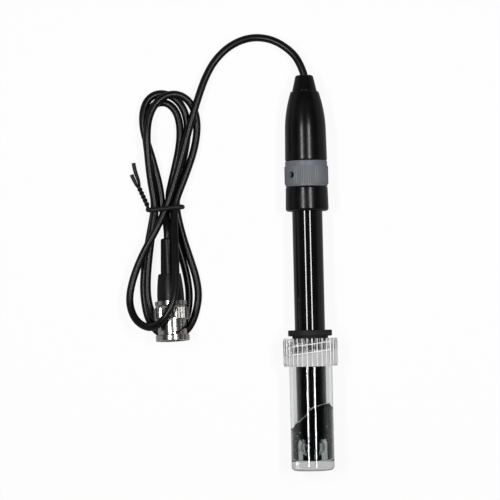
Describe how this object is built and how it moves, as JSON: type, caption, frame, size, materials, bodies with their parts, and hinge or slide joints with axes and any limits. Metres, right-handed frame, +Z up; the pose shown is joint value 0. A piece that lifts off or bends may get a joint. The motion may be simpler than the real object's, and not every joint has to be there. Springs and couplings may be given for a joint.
{
  "type": "ph electrode",
  "caption": "Laboratory pH electrode with a turning refill ring, coaxial lead tied in a hank, bayonet plug and clear screw-top soaking bottle over the tip.",
  "frame": {"origin": "on the floor, under the middle of the lying electrode's length and width, with the cord, its hank and plug left out", "axes": "+Y along the lying electrode toward its cable end, +Z up, +X to the right when seen from above with the cable end up"},
  "size_m": [0.0836, 0.1741, 0.0219],
  "materials": {
    "shaft_plastic": "polished moulded black",
    "cap_plastic": "satin moulded black",
    "grey_plastic": "satin moulded mid grey",
    "clear_glass": "clear blown glass",
    "clear_silicone": "translucent silicone",
    "frit": "porous white",
    "seal_rubber": "matte black",
    "silver_wire": "drawn silver wire",
    "tinned_wire": "tinned",
    "sleeve_plastic": "shrunk sleeve",
    "cable_jacket": "satin black soft vinyl",
    "tie_plastic": "coated wire",
    "clear_plastic": "clear moulded",
    "nickel": "bright nickel plate",
    "white_insulator": "white",
    "gilt_contact": "gold plated",
    "spring_steel": "plain"
  },
  "bodies": {
    "electrode": {"shaft_body": "shaft_plastic", "glass_stem": "clear_glass", "tip_seal": "clear_silicone", "ceramic_junction": "frit", "chamber_plug": "seal_rubber", "stem_plug": "seal_rubber", "inner_wire": "silver_wire", "reference_wire": "silver_wire", "core_splice": "sleeve_plastic", "shield_splice": "sleeve_plastic", "shield_drain": "tinned_wire", "cable_end": "cable_jacket", "filler_neck": "cap_plastic", "handle": "cap_plastic", "cable_nose": "cable_jacket", "cable_lead": "cable_jacket", "cable_hank": "cable_jacket", "cable_tail": "cable_jacket", "twist_tie": "tie_plastic", "plug_boot": "cable_jacket", "crimp_ferrule": "nickel", "plug_body": "nickel", "plug_insulator": "white_insulator", "plug_centre_pin": "gilt_contact", "plug_gasket": "seal_rubber", "retaining_clip": "spring_steel", "spring_washer": "spring_steel"},
    "ring": {"refill_ring": "grey_plastic"},
    "seal": {"bottle_seal": "seal_rubber"},
    "lid": {"bottle_lid": "clear_plastic"},
    "vial": {"vial": "clear_plastic"},
    "nut_washer": {"slip_washer": "spring_steel"},
    "nut": {"coupling_nut": "nickel"}
  },
  "joints": [
    {"name": "ring_turn", "type": "hinge", "parent": "electrode", "child": "ring", "pos_m": [0, 0.03915, 0.00879], "axis": [0, 0.9995, -0.0308], "continuous": true},
    {"name": "bottle_slide", "type": "slide", "parent": "electrode", "child": "seal", "axis": [0, -0.9995, 0.0308], "range_m": [0, 0.125]},
    {"name": "lid_turn", "type": "hinge", "parent": "seal", "child": "lid", "pos_m": [0, -0.03157, 0.01096], "axis": [0, 0.9995, -0.0308], "range_deg": [0, 540]},
    {"name": "vial_screw", "type": "slide", "parent": "seal", "child": "vial", "axis": [0, -0.9995, 0.0308], "range_m": [0, 0.00585]},
    {"name": "nut_spring", "type": "slide", "parent": "electrode", "child": "nut_washer", "axis": [0.033, -0.9952, 0.0922], "range_m": [0, 0.001], "stiffness_N_per_m": 3000, "deforming": ["spring_washer"]},
    {"name": "nut_turn", "type": "hinge", "parent": "nut_washer", "child": "nut", "pos_m": [-0.05463, -0.01904, 0.00954], "axis": [0.033, -0.9952, 0.0922], "continuous": true}
  ],
  "couplings": [
    {"joint": "vial_screw", "follows": "lid_turn", "m_per_rad": 0.0006207}
  ]
}
